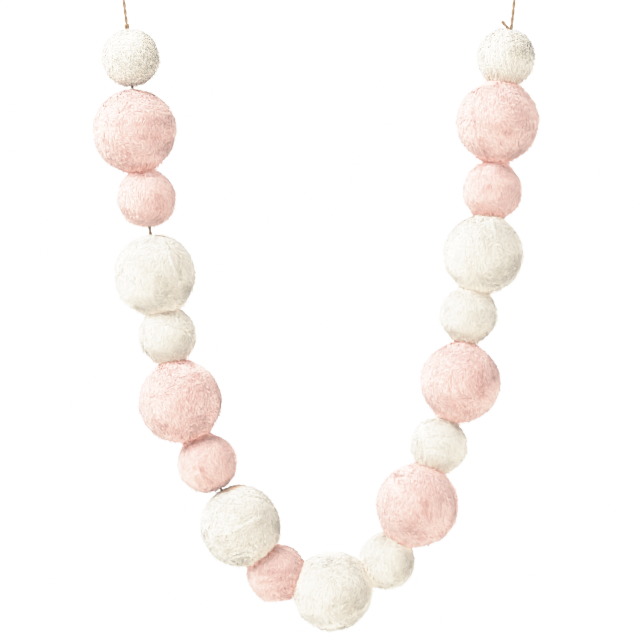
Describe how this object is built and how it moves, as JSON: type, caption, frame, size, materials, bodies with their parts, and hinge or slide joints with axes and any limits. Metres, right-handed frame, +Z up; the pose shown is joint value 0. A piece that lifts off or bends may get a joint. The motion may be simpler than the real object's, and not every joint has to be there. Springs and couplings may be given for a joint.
{
  "type": "fur garland",
  "caption": "Hanging garland of soft faux-fur balls in two sizes, blush pink and cream white, threaded on jute twine with a tied loop at each end.",
  "frame": {"origin": "inside the left hanging loop, under its top, where a nail or hook would bear", "axes": "+X from the left loop to the right one, +Y away from the viewer, +Z up"},
  "size_m": [0.4471, 0.0841, 0.6843],
  "materials": {
    "white_faux_fur": "short dense cream-white faux fur, brushed in patches",
    "pink_faux_fur": "short dense blush-pink faux fur, brushed in patches",
    "jute_twine": "two-ply natural jute twine, dry and slightly hairy"
  },
  "bodies": {
    "root": {"ball_01_white": "white_faux_fur", "ball_02_pink": "pink_faux_fur", "ball_03_pink": "pink_faux_fur", "ball_04_white": "white_faux_fur", "ball_05_white": "white_faux_fur", "ball_06_pink": "pink_faux_fur", "ball_07_pink": "pink_faux_fur", "ball_08_white": "white_faux_fur", "ball_09_pink": "pink_faux_fur", "ball_10_white": "white_faux_fur", "ball_11_white": "white_faux_fur", "ball_12_pink": "pink_faux_fur", "ball_13_white": "white_faux_fur", "ball_14_pink": "pink_faux_fur", "ball_15_white": "white_faux_fur", "ball_16_white": "white_faux_fur", "ball_17_pink": "pink_faux_fur", "ball_18_pink": "pink_faux_fur", "ball_19_white": "white_faux_fur", "twine_through_balls": "jute_twine", "twine_left_stop_knot": "jute_twine", "twine_left_end": "jute_twine", "twine_left_loop_knot": "jute_twine", "twine_left_loop": "jute_twine", "twine_right_end": "jute_twine", "twine_right_loop_knot": "jute_twine", "twine_right_loop": "jute_twine", "twine_tail": "jute_twine"}
  },
  "joints": []
}
